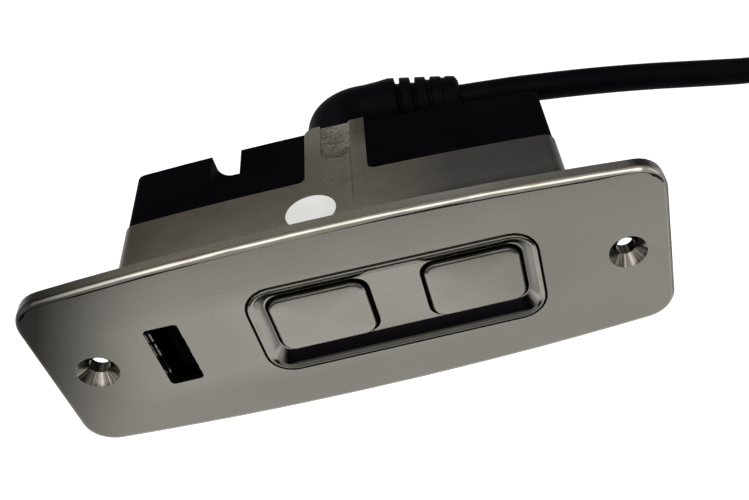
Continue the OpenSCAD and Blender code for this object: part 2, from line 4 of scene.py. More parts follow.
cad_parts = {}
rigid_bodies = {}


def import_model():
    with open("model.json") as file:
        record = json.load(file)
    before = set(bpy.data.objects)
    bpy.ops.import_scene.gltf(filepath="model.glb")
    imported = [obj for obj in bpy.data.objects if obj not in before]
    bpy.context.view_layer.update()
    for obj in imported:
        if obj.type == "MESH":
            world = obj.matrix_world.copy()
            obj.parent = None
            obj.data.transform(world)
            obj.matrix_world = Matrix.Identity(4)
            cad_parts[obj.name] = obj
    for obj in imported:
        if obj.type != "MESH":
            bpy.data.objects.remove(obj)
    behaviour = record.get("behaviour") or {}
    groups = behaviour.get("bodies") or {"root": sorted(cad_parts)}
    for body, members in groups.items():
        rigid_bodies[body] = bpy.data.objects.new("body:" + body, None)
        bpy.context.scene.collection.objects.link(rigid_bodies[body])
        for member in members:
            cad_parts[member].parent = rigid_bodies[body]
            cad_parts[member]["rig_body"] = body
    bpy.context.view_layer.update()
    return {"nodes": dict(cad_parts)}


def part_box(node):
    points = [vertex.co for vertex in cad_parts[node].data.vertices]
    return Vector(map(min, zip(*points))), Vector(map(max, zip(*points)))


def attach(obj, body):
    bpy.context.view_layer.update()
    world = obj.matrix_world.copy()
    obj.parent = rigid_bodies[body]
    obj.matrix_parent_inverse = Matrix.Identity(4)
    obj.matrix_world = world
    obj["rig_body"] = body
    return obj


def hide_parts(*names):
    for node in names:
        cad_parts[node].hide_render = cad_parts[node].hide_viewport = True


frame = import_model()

NODES = frame["nodes"]
HOUSING = "housing"
MM = 0.001
scene = bpy.context.scene
scene.view_settings.view_transform = "Standard"
for name in ("Cube", "Light", "Camera"):
    if name in bpy.data.objects:
        bpy.data.objects.remove(bpy.data.objects[name])


# ---------------------------------------------------------------- helpers
def link(name, data):
    obj = bpy.data.objects.new(name, data)
    scene.collection.objects.link(obj)
    return obj


def mesh_from(bm, name, smooth=True):
    mesh = bpy.data.meshes.new(name)
    bm.to_mesh(mesh)
    bm.free()
    if smooth:
        for p in mesh.polygons:
            p.use_smooth = True
    return mesh


def bridge(bm, rows):
    """Faces between rings that have the same number of vertices."""
    for a, b in zip(rows, rows[1:]):
        for i in range(len(a)):
            j = (i + 1) % len(a)
            bm.faces.new((a[i], a[j], b[j], b[i]))


def ring_points(half_l, half_h, r, steps=8):
    """Points round a rectangle with rounded corners."""
    pts = []
    for q, (sx, sz) in enumerate(((1, 1), (-1, 1), (-1, -1), (1, -1))):
        for i in range(steps + 1):
            a = math.radians(90 * q + 90 * i / steps)
            pts.append((sx * (half_l - r) + r * math.cos(a), sz * (half_h - r) + r * math.sin(a)))
    return pts


def aimed(at, aim):
    """Where a lamp or card stands that looks from one point at another."""
    at, aim = Vector(at), Vector(aim)
    turn = (aim - at).to_track_quat("-Z", "Y").to_matrix().to_4x4()
    return Matrix.Translation(at) @ turn


def sheet(name, half_x, half_y, z=0.0):
    """A flat rectangle for the stage."""
    bm = bmesh.new()
    for x, y in ((-1, -1), (1, -1), (1, 1), (-1, 1)):
        bm.verts.new((x * half_x, y * half_y, z))
    bm.faces.new(bm.verts)
    return link(name, mesh_from(bm, name, smooth=False))


# ---------------------------------------------------------------- camera
PHOTO_W, PHOTO_H = 749, 500
FOCAL_PX = 992.51
AXIS_PX, AXIS_PY = 540.0, 280.0  # the pixel that the camera looks straight at
SENSOR_MM = 36.0
CAM_AT = Vector((23.29, -132.24, 116.27)) * MM
CAM_RIGHT = Vector((0.9743, -0.1801, -0.1356)).normalized()
CAM_FORWARD = Vector((0.0425, 0.7376, -0.6740)).normalized()
CAM_DOWN = CAM_FORWARD.cross(CAM_RIGHT)


def make_camera():
    data = bpy.data.cameras.new("Camera")
    data.sensor_fit = "HORIZONTAL"
    data.sensor_width = SENSOR_MM
    data.lens = FOCAL_PX * SENSOR_MM / PHOTO_W
    data.shift_x = (PHOTO_W / 2 - AXIS_PX) / PHOTO_W
    data.shift_y = (AXIS_PY - PHOTO_H / 2) / PHOTO_W
    data.clip_start, data.clip_end = 0.01, 20.0
    cam = link("Camera", data)
    rows = Matrix((CAM_RIGHT, -CAM_DOWN, -CAM_FORWARD)).transposed()
    cam.matrix_world = Matrix.Translation(CAM_AT) @ rows.to_4x4()
    scene.camera = cam


make_camera()

# ---------------------------------------------------------------- lead, sizes in mm
LEAD_R = 2.8 * MM
LEAD_STEP = 2.0 * MM
ROUTE = [
    (24.3, 46.2, 7.7), (30, 46.2, 7.3), (36, 46.1, 6.9), (42, 46, 6.3), (48, 46, 5.6),
    (54, 46, 4.8), (60, 46, 3.9), (66, 46, 2.9), (72, 46, 1.8), (78, 46, 0.7),
    (84, 46.4, -0.6), (90, 48.2, -2.6), (95.4, 50.8, -6), (99.8, 53.8, -10.4),
    (103, 56.8, -16), (105, 58.8, -22.4),
]
COIL_FROM_X, COIL_TO_X = 106, 117.4
COIL_X, COIL_Y, COIL_Z = 111.7, 31.5, -30
COIL_R, COIL_TURNS, COIL_TURN_STEPS = 28.0, 2, 32
TAIL = [(117.4, 59.5, -37), (117.4, 59.5, -45), (117.4, 59.5, -54)]


def lead_points():
    pts = list(ROUTE)
    steps = COIL_TURN_STEPS * COIL_TURNS
    for i in range(steps + 1):
        a = 2 * math.pi * COIL_TURNS * i / steps
        x = COIL_FROM_X + (COIL_TO_X - COIL_FROM_X) * i / steps
        pts.append((x, COIL_Y + COIL_R * math.cos(a), COIL_Z - COIL_R * math.sin(a)))
    pts += TAIL
    return [Vector(p) * MM for p in pts]


def smooth_line(pts, step):
    """Centripetal Catmull-Rom line through the points, about step apart."""
    out = []
    for i in range(len(pts) - 1):
        p1, p2 = pts[i], pts[i + 1]
        p0 = pts[i - 1] if i else p1 * 2 - p2
        p3 = pts[i + 2] if i + 2 < len(pts) else p2 * 2 - p1
        t1 = (p1 - p0).length ** 0.5
        t2 = t1 + (p2 - p1).length ** 0.5
        t3 = t2 + (p3 - p2).length ** 0.5
        n = max(1, round((p2 - p1).length / step))
        for k in range(n):
            t = t1 + (t2 - t1) * k / n
            a1 = p0 * ((t1 - t) / t1) + p1 * (t / t1)
            a2 = p1 * ((t2 - t) / (t2 - t1)) + p2 * ((t - t1) / (t2 - t1))
            a3 = p2 * ((t3 - t) / (t3 - t2)) + p3 * ((t - t2) / (t3 - t2))
            b1 = a1 * ((t2 - t) / t2) + a2 * (t / t2)
            b2 = a2 * ((t3 - t) / (t3 - t1)) + a3 * ((t - t1) / (t3 - t1))
            out.append(b1 * ((t2 - t) / (t2 - t1)) + b2 * ((t - t1) / (t2 - t1)))
    out.append(pts[-1])
    return out


def line_length(pts):
    return sum((b - a).length for a, b in zip(pts, pts[1:]))


def make_lead():
    pts = smooth_line(lead_points(), LEAD_STEP)
    curve = bpy.data.curves.new("lead", "CURVE")
    curve.dimensions = "3D"
    curve.bevel_depth = 1.0
    curve.bevel_resolution = 6
    curve.use_fill_caps = True
    spline = curve.splines.new("POLY")
    spline.points.add(len(pts) - 1)
    for p, v in zip(spline.points, pts):
        p.co = (*v, 1.0)
        p.radius = LEAD_R
    spline.use_smooth = True
    return link("lead", curve), line_length(pts)


lead, lead_length = make_lead()
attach(lead, HOUSING)
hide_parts("cord", "cord_coil", "cord_tail")

TIE_HALF_X, TIE_HALF_Y, TIE_HALF_Z = 5.65 + 0.35, 2.8 + 0.35, 2.2
TIE_R, TIE_CORNER_STEPS, TIE_ROWS = 2.6, 6, 6
TIE_SWELL, TIE_WALL, TIE_EDGE = 0.12, 0.5, 0.12


def make_tie():
    """A flat wrap round the strands at the front of the coil, a little fuller at its middle."""
    ring = ring_points(TIE_HALF_X, TIE_HALF_Y, TIE_R, TIE_CORNER_STEPS)
    bm = bmesh.new()
    rows = []
    tie_y = COIL_Y - COIL_R
    for k in range(TIE_ROWS + 1):
        z = COIL_Z + (-TIE_HALF_Z + 2 * TIE_HALF_Z * k / TIE_ROWS)
        swell = TIE_SWELL * math.sin(math.pi * k / TIE_ROWS)
        grow_x, grow_y = 1 + swell / TIE_HALF_X, 1 + swell / TIE_HALF_Y
        rows.append([bm.verts.new(Vector((COIL_X + x * grow_x, tie_y + y * grow_y, z)) * MM)
                     for x, y in ring])
    bridge(bm, rows)
    obj = link("lead_tie", mesh_from(bm, "lead_tie"))
    solid = obj.modifiers.new("wall", "SOLIDIFY")
    solid.thickness = TIE_WALL * MM
    solid.offset = 1.0
    bevel = obj.modifiers.new("edge", "BEVEL")
    bevel.width = TIE_EDGE * MM
    bevel.segments = 2
    return obj


tie = make_tie()
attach(tie, HOUSING)
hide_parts("cord_tie")


# ---------------------------------------------------------------- materials
class Tree:
    """Short calls for building a material's nodes."""

    def __init__(self, name):
        self.mat = bpy.data.materials.new(name)
        self.mat.use_nodes = True
        self.nt = self.mat.node_tree
        self.shader = self.nt.nodes["Principled BSDF"]

    def node(self, kind, **props):
        n = self.nt.nodes.new(kind)
        for k, v in props.items():
            if k in n.inputs:
                n.inputs[k].default_value = v
            else:
                setattr(n, k, v)
        return n

    def join(self, a, b):
        self.nt.links.new(a, b)

    def put(self, sock, value):
        """Sets a socket to a number or a colour, or joins another socket to it."""
        if isinstance(value, (int, float)):
            sock.default_value = value
        elif isinstance(value, tuple):
            sock.default_value = (*value, 1.0) if len(value) == 3 else value
        else:
            self.join(value, sock)

    def split(self, vector):
        sep = self.node("ShaderNodeSeparateXYZ")
        self.join(vector, sep.inputs[0])
        return sep.outputs

    def position(self):
        """X, Y and Z on the object, in metres."""
        return self.split(self.node("ShaderNodeTexCoord").outputs["Object"])

    def facing(self):
        """X, Y and Z of the surface's normal."""
        return self.split(self.node("ShaderNodeNewGeometry").outputs["Normal"])

    def place(self, scale=(1, 1, 1)):
        m = self.node("ShaderNodeMapping")
        m.inputs["Scale"].default_value = scale
        self.join(self.node("ShaderNodeTexCoord").outputs["Object"], m.inputs["Vector"])
        return m.outputs["Vector"]

    def noise(self, scale, detail=3.0, rough=0.55, stretch=(1, 1, 1)):
        n = self.node("ShaderNodeTexNoise", Scale=scale, Detail=detail, Roughness=rough)
        self.join(self.place(stretch), n.inputs["Vector"])
        return n.outputs["Fac"]

    def ramp(self, fac, stops):
        n = self.node("ShaderNodeValToRGB")
        el = n.color_ramp.elements
        while len(el) < len(stops):
            el.new(0.5)
        for e, (at, col) in zip(el, stops):
            e.position = at
            e.color = (*col, 1.0)
        self.join(fac, n.inputs["Fac"])
        return n.outputs["Color"]

    def grey_ramp(self, fac, stops):
        return self.ramp(fac, [(at, (v, v, v)) for at, v in stops])

    def span(self, value, lo, hi, to_lo=0.0, to_hi=1.0, smooth=False):
        n = self.node("ShaderNodeMapRange")
        if smooth:
            n.interpolation_type = "SMOOTHSTEP"
        for k, v in (("From Min", lo), ("From Max", hi), ("To Min", to_lo), ("To Max", to_hi)):
            n.inputs[k].default_value = v
        self.join(value, n.inputs["Value"])
        return n.outputs["Result"]

    def math(self, op, a, b=None):
        n = self.node("ShaderNodeMath", operation=op)
        self.put(n.inputs[0], a)
        if b is not None:
            self.put(n.inputs[1], b)
        return n.outputs[0]

    def size(self, value):
        return self.math("ABSOLUTE", value)

    def times(self, a, b):
        return self.math("MULTIPLY", a, b)

    def mix(self, fac, a, b):
        n = self.node("ShaderNodeMix", data_type="RGBA")
        for key, v in (("Factor", fac), ("A", a), ("B", b)):
            self.put(n.inputs[key], v)
        return n.outputs["Result"]

    def scaled(self, colour, by):
        """A colour times a number or a grey value."""
        n = self.node("ShaderNodeVectorMath", operation="SCALE")
        self.join(colour, n.inputs[0])
        self.put(n.inputs["Scale"], by)
        return n.outputs["Vector"]

    def lighter(self, colour, by):
        return self.scaled(colour, self.math("ADD", by, 1.0))

    def darker(self, colour, by):
        return self.scaled(colour, self.math("SUBTRACT", 1.0, by))

    def tinted(self, colour, tint):
        n = self.node("ShaderNodeVectorMath", operation="MULTIPLY")
        self.join(colour, n.inputs[0])
        n.inputs[1].default_value = tint
        return n.outputs["Vector"]

    def bump(self, height, strength, distance):
        n = self.node("ShaderNodeBump", Strength=strength, Distance=distance)
        self.join(height, n.inputs["Height"])
        self.join(n.outputs["Normal"], self.shader.inputs["Normal"])

    def set(self, **values):
        for k, v in values.items():
            self.put(self.shader.inputs[k.replace("_", " ")], v)


# Painted light and shade, set by place on the object, and where the tab's specks and the
# screws sit. A pair is where it starts and ends, in metres on the object or as a part of
# the normal. A ramp is (part of the way, tone).
PLATE_X, FACE_Z, MIDDLE_Z = (-0.055, 0.055), (-0.016, 0.016), (0.006, 0.0125)
NICKEL_ALONG = ((0.08, 0.0), (0.14, 0.45), (0.28, 0.6), (0.37, 1.0), (0.59, 1.0), (0.67, 0.5),
                (0.74, 0.05))
NICKEL_UP = ((0.0, 0.84), (0.1, 0.855), (0.4, 0.885), (0.52, 0.9), (0.65, 0.94), (0.9, 1.05),
             (1.0, 1.06))
NICKEL_LIFT = 1.34
CORNER, CORNER_SLANT = (0.036, 0.060), 0.5
CORNER_SHADE = ((0.0, 1.0), (0.17, 0.94), (0.3, 0.85), (0.42, 0.73), (0.54, 0.57), (0.62, 0.46),
                (0.71, 0.34), (0.92, 0.11))
END_X, END_SHADE_TONE = (0.0542, 0.0548), 0.3
OPENING_Y, OPENING_SHADE = (-0.00119, -0.00114), 0.04
TRAY_FIELD_X, TRAY_FIELD_Z = (0.033, 0.034), (0.0088, 0.0092)
SIDE_Y, SIDE_TOP_Z, SIDE_TOP_X = (-0.0024, -0.0019), (0.013, 0.015), (-0.005, 0.03)
SIDE_TOP_LIFT, SIDE_FAR_X, SIDE_FAR_SHADE = 0.5, (0.048, 0.0505), 0.85
RIM_Z = (-0.0105, 0.0105)
RIM_UP = ((0.0, 0.12), (0.05, 0.2), (0.09, 0.42), (0.14, 0.5), (0.25, 1.0), (0.85, 1.0),
          (1.0, 0.9))
WALL_DOWN, WALL_SIDE, WALL_UP = (-0.5, -0.1), (0.3, 0.75), (0.22, 0.55)
WALL_DOWN_LIFT, WALL_SIDE_SHINE, WALL_FOOT_Z = 1.7, 0.2, (-0.00848, -0.00838)
PAINTED_SHADE_TOP_Z = (0.0082, 0.0092)
BOX_X, BOX_Y = (-0.04, 0.04), (0.0, 0.02)
CAST_ALONG = ((0.05, 0.57), (0.12, 0.8), (0.27, 0.96), (0.53, 1.0), (0.61, 0.7), (0.68, 0.56),
              (0.75, 0.34), (1.0, 0.33))
CAST_BACK = ((0.0, 1.0), (0.2, 0.96), (0.45, 0.72), (0.7, 0.6), (1.0, 0.6))
NEAR_Y, NEAR_X, NEAR_SHADE = (0.005, 0.0075), (0.008, 0.019), 0.48
COOL_REFLECTION_X, COOL_REFLECTION_SHARE = (0.01, 0.022), 0.8
TAB_END_Y, TAB_TILT_LIGHT_X, TAB_TILT_LIGHT = (0.024, 0.0295), (-0.003, 0.004), (0.4, -0.52)
TAB_SPECK_X, TAB_SPECK_Y = (0.0022, 0.0036), (0.006, 0.016)
HOLLOW_FROM_Y, HOLLOW_TO_Y, HOLLOW_SHADE = (0.0225, 0.0232), (0.0245, 0.027), 0.55
SCREW_X = 0.047
SHELL_FRONT_Y = (-0.00172, -0.00158)

# Colours, among them painted shade, painted light and painted highlights
BRUSHED = ((0.3, (0.198, 0.187, 0.168)), (0.52, (0.216, 0.205, 0.184)),
           (0.74, (0.236, 0.225, 0.202)))
BRUSHED_CLOUD = (0.2, 0.185, 0.158)
POLISHED, POLISHED_WAVE = (0.25, 0.234, 0.206), (0.215, 0.2, 0.172)
# Painted light on the tray's side walls; painted shade on its lower wall and at that wall's foot
SIDE_WALL, LOWER_WALL = (0.3, 0.285, 0.258), (0.03, 0.027, 0.023)
LOWER_WALL_FOOT = (0.0022, 0.0018, 0.0022)
# Painted shade in the groove, the openings, the socket window and the caps' sides, lighter high up
PAINTED_SHADE_LOW, PAINTED_SHADE_HIGH = (0.0012, 0.0011, 0.001), (0.003, 0.0027, 0.0024)
PAINTED_SHADE_TOP = (0.05, 0.046, 0.04)
CAST_LOW, CAST_HIGH = (0.25, 0.228, 0.188), (0.33, 0.302, 0.256)
ROUGH_LOW, ROUGH_HIGH = (0.014, 0.0125, 0.0105), (0.34, 0.316, 0.278)
# A painted cool reflection on the box, and the tab's pale specks
COOL_REFLECTION_TINT, TAB_SPECK = (0.97, 1.0, 1.2), (0.42, 0.395, 0.345)
# Turning streaks in the countersinks, in dark tones that are painted shade
SINK_STREAKS_AND_SHADE = ((0.36, (0.016, 0.014, 0.011)), (0.5, (0.075, 0.069, 0.058)),
                (0.68, (0.2, 0.186, 0.163)))
# Painted shade inside the socket, and painted highlight dashes on its front edge
SHELL_SHADE_LOW, SHELL_SHADE_HIGH = (0.004, 0.0038, 0.004), (0.008, 0.0076, 0.0076)
SHELL_HIGHLIGHT_DASH = (0.3, 0.29, 0.27)
BLACK, BLACK_HIGH = (0.0012, 0.0011, 0.0016), (0.002, 0.0018, 0.0026)


def left_corner(t, x, z):
    """The plate falls into shade towards its upper left corner."""
    corner = t.math("SUBTRACT", t.times(z, CORNER_SLANT), x)
    return t.grey_ramp(t.span(corner, *CORNER), CORNER_SHADE)


def end_shade(t, x):
    """The plate's two ends are dark where they turn away."""
    return t.span(t.size(x), *END_X, 1.0, END_SHADE_TONE, True)


def brushed_nickel():
    """Satin nickel with fine brushing along X and a few soft clouds, and painted light and shade
    over the plate: lighter in the middle and upwards, lighter along the top of the edge side,
    and darker at the upper left corner, the ends, the openings and the right end of the edge side.
    """
    t = Tree("satin_nickel")
    fine = t.noise(4.0, 4.0, 0.6, (14, 1500, 1500))
    broad = t.noise(3.0, 3.0, 0.5, (4, 160, 160))
    cloud = t.noise(1.6, 2.0, 0.5, (30, 30, 30))
    streak = t.math("ADD", t.times(fine, 0.7), t.times(broad, 0.3))
    colour = t.mix(t.span(cloud, 0.35, 0.7, 0.0, 0.3), t.ramp(streak, BRUSHED), BRUSHED_CLOUD)
    x, y, z = t.position()
    # Painted light: the middle third of the face is lighter, and the face grows lighter upwards.
    along = t.grey_ramp(t.span(x, *PLATE_X), NICKEL_ALONG)
    middle = t.span(t.size(z), *MIDDLE_Z, 1.0, 0.0, True)
    colour = t.mix(t.times(along, middle), colour, t.scaled(colour, NICKEL_LIFT))
    colour = t.scaled(colour, t.grey_ramp(t.span(z, *FACE_Z), NICKEL_UP))
    colour = t.scaled(colour, left_corner(t, x, z))
    # Painted shade: near black behind the face, inside the button openings.
    in_front = t.span(y, *OPENING_Y, 1.0, OPENING_SHADE)
    outside = t.math("MAXIMUM", t.span(t.size(x), *TRAY_FIELD_X),
                     t.span(t.size(z), *TRAY_FIELD_Z))
    colour = t.scaled(colour, t.math("MAXIMUM", in_front, outside))
    # Painted light along the top of the plate's edge side, painted shade at its right end and at
    # both ends of the plate.
    side = t.span(y, *SIDE_Y)
    top = t.times(side, t.span(z, *SIDE_TOP_Z, 0.0, SIDE_TOP_LIFT))
    colour = t.lighter(colour, t.times(top, t.span(x, *SIDE_TOP_X, 1.0, 0.0)))
    far = t.times(side, t.span(x, *SIDE_FAR_X, 0.0, SIDE_FAR_SHADE, True))
    colour = t.scaled(t.darker(colour, far), end_shade(t, x))
    rough = t.math("ADD", t.span(streak, 0.3, 0.7, 0.22, 0.29),
                   t.span(cloud, 0.3, 0.7, 0.0, 0.04))
    t.set(Base_Color=colour, Metallic=1.0, Roughness=rough)
    t.bump(fine, 0.08, 0.00001)
    return t.mat


def polished_nickel(name="polished_nickel", place="edge"):
    """Smoother plating with painted light and shade by place. place is "edge" for the plate's
    rounding, painted darker at the upper left corner and the ends, "rim" for the tray's rim,
    painted darker towards the bottom, and "wall" for the tray's walls: the upper one is
    painted lighter, the side ones lighter and less metallic, and the lower one, which faces
    up, painted almost black as deep shade."""
    t = Tree(name)
    wave = t.noise(260.0, 2.0, 0.5)
    speck = t.noise(3200.0, 2.0, 0.6)
    colour = t.mix(t.span(wave, 0.35, 0.7), POLISHED, POLISHED_WAVE)
    shine = 1.0
    x, _, z = t.position()
    if place == "edge":
        # Painted shade at the upper left corner and at the ends.
        colour = t.scaled(t.scaled(colour, left_corner(t, x, z)), end_shade(t, x))
    elif place == "rim":
        # Painted shade: the rim darkens towards the bottom.
        colour = t.scaled(colour, t.grey_ramp(t.span(z, *RIM_Z), RIM_UP))
    else:
        to_x, _, to_z = t.facing()
        # Painted light on the upper and side walls, and painted shade that makes the lower wall
        # almost black.
        colour = t.scaled(colour, t.span(to_z, *WALL_DOWN, WALL_DOWN_LIFT, 1.0, True))
        colour = t.mix(t.span(t.size(to_x), *WALL_SIDE, smooth=True), colour, SIDE_WALL)
        shine = t.span(t.size(to_x), *WALL_SIDE, 1.0, WALL_SIDE_SHINE, True)
        deep = t.mix(t.span(z, *WALL_FOOT_Z, 1.0, 0.0), LOWER_WALL_FOOT, LOWER_WALL)
        colour = t.mix(t.span(to_z, *WALL_UP, smooth=True), colour, deep)
    t.set(Base_Color=colour, Metallic=shine, Roughness=t.span(speck, 0.3, 0.7, 0.13, 0.2))
    t.bump(wave, 0.06, 0.00002)
    return t.mat


def painted_shade_nickel():
    """Painted shade, near black and rough: the groove round the rim, the walls inside the
    openings and the socket window, and the caps' sides; painted lighter high up, along the
    groove's top.
    """
    t = Tree("painted_shade_nickel")
    speck = t.noise(1800.0, 2.0, 0.6)
    z = t.position()[2]
    painted_shade_tone = t.mix(t.span(speck, 0.35, 0.7), PAINTED_SHADE_LOW, PAINTED_SHADE_HIGH)
    t.set(Base_Color=t.mix(t.span(z, *PAINTED_SHADE_TOP_Z), painted_shade_tone, PAINTED_SHADE_TOP), Metallic=0.6,
          Roughness=t.span(speck, 0.3, 0.7, 0.45, 0.6), Specular_IOR_Level=0.05)
    t.bump(speck, 0.2, 0.00002)
    return t.mat


def casting(name, grain_scale, grain_bump, rough, tones):
    """What the plain casting and the tab's rough pocket share: the nodes, their grain, the
    mottled colour and the place on the object."""
    t = Tree(name)
    grain = t.noise(grain_scale, 3.0, 0.7)
    mottle = t.math("ADD", t.times(t.noise(90.0, 3.0, 0.6), 0.6), t.times(grain, 0.4))
    t.set(Metallic=1.0, Roughness=t.span(grain, 0.3, 0.7, rough, rough + 0.12))
    t.bump(grain, grain_bump, 0.00003)
    return t, t.ramp(mottle, tones), t.position()


def cast_nickel():
    """The same plating over an unbrushed, slightly grainy casting, with painted shade along
    the box, towards its back and near the plate, a painted cool reflection to the right,
    painted light and shade across the tab's end, and pale specks on the tab.
    """
    tones = ((0.34, CAST_LOW), (0.66, CAST_HIGH))
    t, colour, (x, y, _) = casting("cast_nickel", 2400.0, 0.25, 0.3, tones)
    # Painted shade: darker at the box's left end, much darker towards its right, and darker towards
    # its back.
    along = t.grey_ramp(t.span(x, *BOX_X), CAST_ALONG)
    back = t.grey_ramp(t.span(y, *BOX_Y), CAST_BACK)
    colour = t.scaled(colour, t.times(along, back))
    # Painted shade close to the plate, right of the middle.
    near = t.times(t.span(y, *NEAR_Y, NEAR_SHADE, 0.0), t.span(x, *NEAR_X))
    colour = t.darker(colour, near)
    # Painted cool reflection towards the right.
    cool = t.span(x, *COOL_REFLECTION_X, 0.0, COOL_REFLECTION_SHARE, True)
    colour = t.mix(cool, colour, t.tinted(colour, COOL_REFLECTION_TINT))
    # Painted light on the left of the tab's end and painted shade on its right.
    colour = t.lighter(colour, t.times(t.span(y, *TAB_END_Y), t.span(x, *TAB_TILT_LIGHT_X, *TAB_TILT_LIGHT)))
    speck = t.span(t.noise(2600.0, 2.0, 0.6), 0.6, 0.68, 0.0, 0.7)
    zone = t.times(t.span(t.size(x), *TAB_SPECK_X, 1.0, 0.0), t.span(y, *TAB_SPECK_Y))
    t.set(Base_Color=t.mix(t.times(speck, zone), colour, TAB_SPECK))
    return t.mat


def rough_casting():
    """The pocket's bottom: coarse, with bright grains and painted shade in its hollow."""
    tones = ((0.4, ROUGH_LOW), (0.6, ROUGH_HIGH))
    t, colour, (_, y, _) = casting("rough_casting", 1500.0, 1.0, 0.35, tones)
    hollow = t.times(t.span(y, *HOLLOW_FROM_Y), t.span(y, *HOLLOW_TO_Y, 1.0, 0.0))
    t.set(Base_Color=t.darker(colour, t.times(hollow, HOLLOW_SHADE)))
    return t.mat


def turned_and_shaded_nickel():
    """A countersink cut with a chattering tool: streaks that run to its middle, in dark tones
    that are painted shade in the countersink and its bore.
    """
    t = Tree("turned_and_shaded_nickel")
    x, _, z = t.position()
    turn = t.math("ARCTAN2", z, t.math("SUBTRACT", t.size(x), SCREW_X))
    n = t.node("ShaderNodeTexNoise", noise_dimensions="1D", Scale=2.6, Detail=3.0, Roughness=0.75)
    t.join(turn, n.inputs["W"])
    streak = n.outputs["Fac"]
    speck = t.noise(2600.0, 2.0, 0.6)
    t.set(Base_Color=t.ramp(streak, SINK_STREAKS_AND_SHADE), Metallic=1.0,
          Roughness=t.span(speck, 0.3, 0.7, 0.14, 0.24))
    t.bump(streak, 0.3, 0.0001)
    return t.mat


def edge_nickel(name, dark, light, rough):
    """Nickel on an edge that sits in the tray's shade, with streaks along X."""
    t = Tree(name)
    streak = t.noise(3.0, 3.0, 0.6, (60, 2600, 2600))
    t.set(Base_Color=t.ramp(streak, ((0.36, dark), (0.64, light))), Metallic=0.9,
          Roughness=t.span(streak, 0.3, 0.7, rough, rough + 0.1))
    t.bump(streak, 0.1, 0.00001)
    return t.mat


def moulded(name, colour, lift, rough, grain_scale=2200.0, grain=0.15, specular=0.2):
    """A plastic, board, wire or paper with a slow change of colour and a fine grain."""
    t = Tree(name)
    g = t.noise(grain_scale, 3.0, 0.6)
    c = t.noise(120.0, 2.0, 0.5)
    t.set(Base_Color=t.mix(t.span(c, 0.35, 0.65), colour, lift),
          Roughness=t.span(g, 0.3, 0.7, rough - 0.05, rough + 0.07),
          Specular_IOR_Level=specular)
    t.bump(g, grain, 0.00002)
    return t.mat


def metal(name, colour, rough, scale=700.0):
    """A plain metal, mottled with a darker tone of its own colour."""
    t = Tree(name)
    g = t.noise(scale, 3.0, 0.6)
    dark = tuple(v * 0.82 for v in colour)
    t.set(Base_Color=t.mix(t.span(g, 0.35, 0.7), colour, dark), Metallic=1.0,
          Roughness=t.span(g, 0.3, 0.7, rough - 0.05, rough + 0.08))
    t.bump(g, 0.08, 0.00001)
    return t.mat


def socket_steel():
    """The socket's sheet: painted highlights in short dashes on its front edge, and painted
    shade that keeps it dark inside.
    """
    t = Tree("socket_steel")
    front = t.span(t.position()[1], *SHELL_FRONT_Y, 1.0, 0.0)
    dash = t.span(t.noise(1.0, 1.0, 0.4, (400, 1, 700)), 0.52, 0.6, smooth=True)
    speck = t.noise(900.0, 2.0, 0.5)
    painted_shade_tone = t.mix(t.span(speck, 0.35, 0.65), SHELL_SHADE_LOW, SHELL_SHADE_HIGH)
    t.set(Base_Color=t.mix(t.times(front, dash), painted_shade_tone, SHELL_HIGHLIGHT_DASH), Metallic=1.0,
          Roughness=t.span(speck, 0.3, 0.7, 0.26, 0.34))
    t.bump(speck, 0.08, 0.00001)
    return t.mat


MAT = {
    "nickel": brushed_nickel(),
    "polish": polished_nickel(),
    "painted_shade": painted_shade_nickel(),
    "cast": cast_nickel(),
    "pocket": rough_casting(),
    "sink": turned_and_shaded_nickel(),
    "wall": polished_nickel("tray_wall_nickel", "wall"),
    "rim": polished_nickel("rim_nickel", "rim"),
    "cap_edge": edge_nickel("cap_edge_nickel", (0.025, 0.022, 0.018), (0.085, 0.078, 0.068), 0.2),
    "black": moulded("black_moulding", BLACK, BLACK_HIGH, 0.5, specular=0.002),
    "soft": moulded("soft_black", BLACK, BLACK_HIGH, 0.45, 1500.0, 0.1, 0.012),
    "spring": metal("spring_wire", (0.55, 0.55, 0.56), 0.25),
    "board": moulded("board_laminate", (0.02, 0.11, 0.045), (0.03, 0.15, 0.06), 0.35, 900.0, 0.1,
                     0.5),
    "switch": moulded("switch_plastic", (0.02, 0.02, 0.021), (0.03, 0.03, 0.03), 0.45),
    "plunger": moulded("plunger_plastic", (0.55, 0.48, 0.33), (0.62, 0.55, 0.4), 0.4, specular=0.5),
    "shell": socket_steel(),
    "steel": metal("collar_steel", (0.44, 0.44, 0.44), 0.26),
    "gold": metal("contact_gold", (0.75, 0.52, 0.2), 0.25),
    "screw": metal("screw_steel", (0.4, 0.4, 0.42), 0.32),
    "header": moulded("header_plastic", (0.72, 0.68, 0.56), (0.78, 0.74, 0.62), 0.4, specular=0.5),
    "wire": moulded("wire_insulation", (0.35, 0.03, 0.03), (0.4, 0.04, 0.035), 0.4, specular=0.5),
    "can": metal("capacitor_can", (0.3, 0.32, 0.42), 0.3),
    "paper": moulded("sticker_paper", (0.54, 0.54, 0.52), (0.6, 0.6, 0.58), 0.6, 900.0, 0.05, 0.2),
}

NODE_MAT = {
    "bezel": "nickel", "left_button": "nickel", "right_button": "nickel", "back_cover": "black",
    "left_return_spring": "spring", "right_return_spring": "spring", "circuit_board": "board",
    "left_switch_body": "switch", "right_switch_body": "switch", "left_switch_plunger": "plunger",
    "right_switch_plunger": "plunger", "usb_shell": "shell", "usb_tongue": "black",
    "usb_contacts": "gold", "board_screws": "screw", "cover_screws": "screw",
    "wire_header": "header",
    "lead_wires": "wire", "power_inductor": "switch", "smoothing_capacitor": "can",
    "inspection_sticker": "paper", "strain_relief": "soft", "plug_body": "soft",
    "plug_collar": "steel",
    "plug_insert": "black", "plug_pins": "gold",
}


